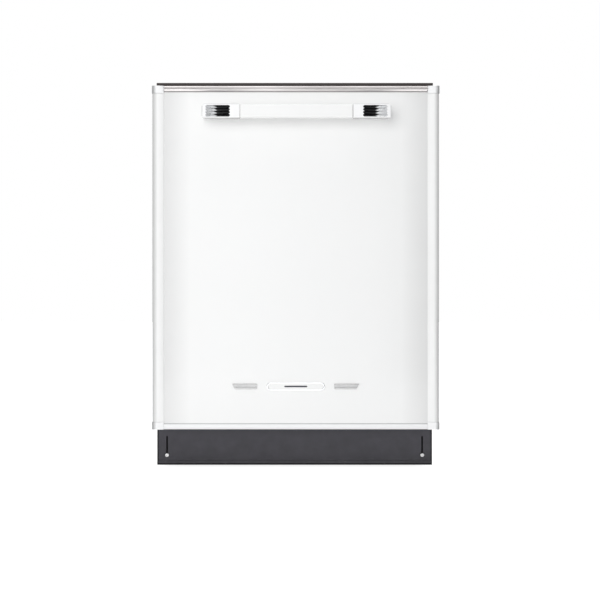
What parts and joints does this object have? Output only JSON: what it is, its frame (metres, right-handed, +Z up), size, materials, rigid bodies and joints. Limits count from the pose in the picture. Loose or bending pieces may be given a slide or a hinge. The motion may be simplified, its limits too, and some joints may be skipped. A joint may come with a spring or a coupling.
{
  "type": "built-in dishwasher",
  "caption": "Built-in dishwasher: drop-down door with bar handle, kick panel, steel tub, sliding racks, spray arms, filter, pumps and levelling feet.",
  "frame": {"origin": "middle of the machine's footprint, handle included, at the underside of the feet", "axes": "+Z up, the door faces -Y, +X to the right seen from the front"},
  "size_m": [0.6052, 0.668, 0.835],
  "materials": {
    "white_enamel": "gloss white enamel",
    "bright_chrome": "polished",
    "dark_strip": "satin dark brown",
    "kick_grey": "satin dark grey powder coat",
    "galvanised": "galvanised, matte spangle",
    "stainless": "brushed",
    "zinc_steel": "zinc plated",
    "black_plastic": "matte moulded",
    "grey_plastic": "matte moulded",
    "pump_plastic": "matte moulded",
    "blue_plastic": "matte moulded",
    "seal_rubber": "matte",
    "felt": "bitumen-backed felt",
    "coated_wire": "nylon-coated wire",
    "dark_glass": "gloss",
    "button_plastic": "satin"
  },
  "bodies": {
    "cabinet": {"base_tray": "black_plastic", "tub_wrap": "stainless", "tub_back": "stainless", "tub_floor": "stainless", "tub_gasket": "seal_rubber", "side_panel_left": "galvanised", "side_panel_right": "galvanised", "rear_panel": "galvanised", "top_front_strip": "dark_strip", "counter_brackets": "zinc_steel", "insulation_blanket": "felt", "sump": "grey_plastic", "filter_plate": "stainless", "circulation_pump": "pump_plastic", "drain_pump": "pump_plastic", "water_inlet_valve": "blue_plastic", "spray_feed_pipe": "grey_plastic", "hinge_brackets": "zinc_steel", "rail_guides": "stainless", "latch_strike": "zinc_steel", "kick_panel_screws": "zinc_steel"},
    "door": {"door_outer_panel": "white_enamel", "door_side_trim_left": "white_enamel", "door_side_trim_right": "white_enamel", "door_top_trim": "bright_chrome", "door_bottom_trim": "bright_chrome", "door_corner_caps": "bright_chrome", "door_inner_liner": "stainless", "control_fascia": "black_plastic", "display_lens": "dark_glass", "handle_bar": "white_enamel", "handle_bracket_left": "bright_chrome", "handle_bracket_right": "bright_chrome", "door_badges": "bright_chrome", "door_hinge_arms": "zinc_steel", "dispenser_housing": "grey_plastic", "latch_housing": "black_plastic"},
    "kick": {"kick_panel": "kick_grey"},
    "levelling_foot_front_left": {"levelling_foot_front_left": "black_plastic"},
    "levelling_foot_front_right": {"levelling_foot_front_right": "black_plastic"},
    "levelling_foot_rear_left": {"levelling_foot_rear_left": "black_plastic"},
    "levelling_foot_rear_right": {"levelling_foot_rear_right": "black_plastic"},
    "dispenser_lid": {"dispenser_lid": "grey_plastic"},
    "rinse_aid_cap": {"rinse_aid_cap": "blue_plastic"},
    "latch_hook": {"latch_hook": "zinc_steel"},
    "power_button": {"power_button": "button_plastic"},
    "program_button": {"program_button": "button_plastic"},
    "start_button": {"start_button": "button_plastic"},
    "lower_rack": {"lower_rack_basket": "coated_wire", "lower_rack_tines": "coated_wire", "cutlery_basket": "grey_plastic"},
    "lower_front_wheels": {"lower_front_wheels": "grey_plastic"},
    "lower_rear_wheels": {"lower_rear_wheels": "grey_plastic"},
    "upper_rack": {"upper_rack_basket": "coated_wire", "upper_feed_tube": "grey_plastic"},
    "upper_rail_left": {"upper_rail_left": "stainless"},
    "upper_rail_right": {"upper_rail_right": "stainless"},
    "upper_spray_arm": {"upper_spray_arm": "grey_plastic"},
    "lower_spray_arm": {"lower_spray_arm": "grey_plastic"},
    "filter_cylinder": {"filter_cylinder": "grey_plastic"}
  },
  "joints": [
    {"name": "door_hinge", "type": "hinge", "parent": "cabinet", "child": "door", "pos_m": [0, -0.246, 0.118], "axis": [1, 0, 0], "range_deg": [0, 90], "stiffness_Nm_per_rad": 30},
    {"name": "kick_panel_drop", "type": "slide", "parent": "cabinet", "child": "kick", "axis": [0, 0, -1], "range_m": [0, 0.033]},
    {"name": "lower_rack_slide", "type": "slide", "parent": "cabinet", "child": "lower_rack", "axis": [0, -1, 0], "range_m": [0, 0.025]},
    {"name": "upper_rack_slide", "type": "slide", "parent": "cabinet", "child": "upper_rack", "axis": [0, -1, 0], "range_m": [0, 0.025]},
    {"name": "lower_spray_spin", "type": "hinge", "parent": "cabinet", "child": "lower_spray_arm", "pos_m": [0, 0.04215, 0.158], "axis": [0, 0, 1], "continuous": true},
    {"name": "upper_spray_spin", "type": "hinge", "parent": "upper_rack", "child": "upper_spray_arm", "pos_m": [0, 0.04215, 0.4237], "axis": [0, 0, 1], "continuous": true},
    {"name": "filter_twist", "type": "hinge", "parent": "cabinet", "child": "filter_cylinder", "pos_m": [0, -0.01985, 0.131], "axis": [0, 0, 1], "range_deg": [0, 60]},
    {"name": "dispenser_lid_slide", "type": "slide", "parent": "door", "child": "dispenser_lid", "axis": [1, 0, 0], "range_m": [0, 0.06]},
    {"name": "rinse_cap_turn", "type": "hinge", "parent": "door", "child": "rinse_aid_cap", "pos_m": [0.114, -0.228, 0.43], "axis": [0, 1, 0], "range_deg": [0, 90]},
    {"name": "latch_release", "type": "hinge", "parent": "door", "child": "latch_hook", "pos_m": [0, -0.25, 0.799], "axis": [-1, 0, 0], "range_deg": [0, 6], "stiffness_Nm_per_rad": 1.2, "springref_deg": -5.73},
    {"name": "power_press", "type": "slide", "parent": "door", "child": "power_button", "axis": [0, 0, -1], "range_m": [0, 0.0015], "stiffness_N_per_m": 600, "springref_m": -0.0004},
    {"name": "program_press", "type": "slide", "parent": "door", "child": "program_button", "axis": [0, 0, -1], "range_m": [0, 0.0015], "stiffness_N_per_m": 600, "springref_m": -0.0004},
    {"name": "start_press", "type": "slide", "parent": "door", "child": "start_button", "axis": [0, 0, -1], "range_m": [0, 0.0015], "stiffness_N_per_m": 600, "springref_m": -0.0004},
    {"name": "foot_front_left_screw", "type": "slide", "parent": "cabinet", "child": "levelling_foot_front_left", "axis": [0, 0, -1], "range_m": [0, 0.04]},
    {"name": "foot_front_right_screw", "type": "slide", "parent": "cabinet", "child": "levelling_foot_front_right", "axis": [0, 0, -1], "range_m": [0, 0.04]},
    {"name": "foot_rear_left_screw", "type": "slide", "parent": "cabinet", "child": "levelling_foot_rear_left", "axis": [0, 0, -1], "range_m": [0, 0.04]},
    {"name": "foot_rear_right_screw", "type": "slide", "parent": "cabinet", "child": "levelling_foot_rear_right", "axis": [0, 0, -1], "range_m": [0, 0.04]},
    {"name": "lower_front_wheel_roll", "type": "hinge", "parent": "lower_rack", "child": "lower_front_wheels", "pos_m": [0, -0.114, 0.1513], "axis": [1, 0, 0], "range_deg": [0, 89.6]},
    {"name": "lower_rear_wheel_roll", "type": "hinge", "parent": "lower_rack", "child": "lower_rear_wheels", "pos_m": [0, 0.21, 0.1513], "axis": [1, 0, 0], "range_deg": [0, 89.6]},
    {"name": "upper_rail_left_slide", "type": "slide", "parent": "cabinet", "child": "upper_rail_left", "axis": [0, -1, 0], "range_m": [0, 0.0125]},
    {"name": "upper_rail_right_slide", "type": "slide", "parent": "cabinet", "child": "upper_rail_right", "axis": [0, -1, 0], "range_m": [0, 0.0125]}
  ],
  "couplings": [
    {"joint": "lower_front_wheel_roll", "follows": "lower_rack_slide", "rad_per_m": 62.5},
    {"joint": "lower_rear_wheel_roll", "follows": "lower_rack_slide", "rad_per_m": 62.5},
    {"joint": "upper_rail_left_slide", "follows": "upper_rack_slide", "ratio": 0.5},
    {"joint": "upper_rail_right_slide", "follows": "upper_rack_slide", "ratio": 0.5}
  ]
}
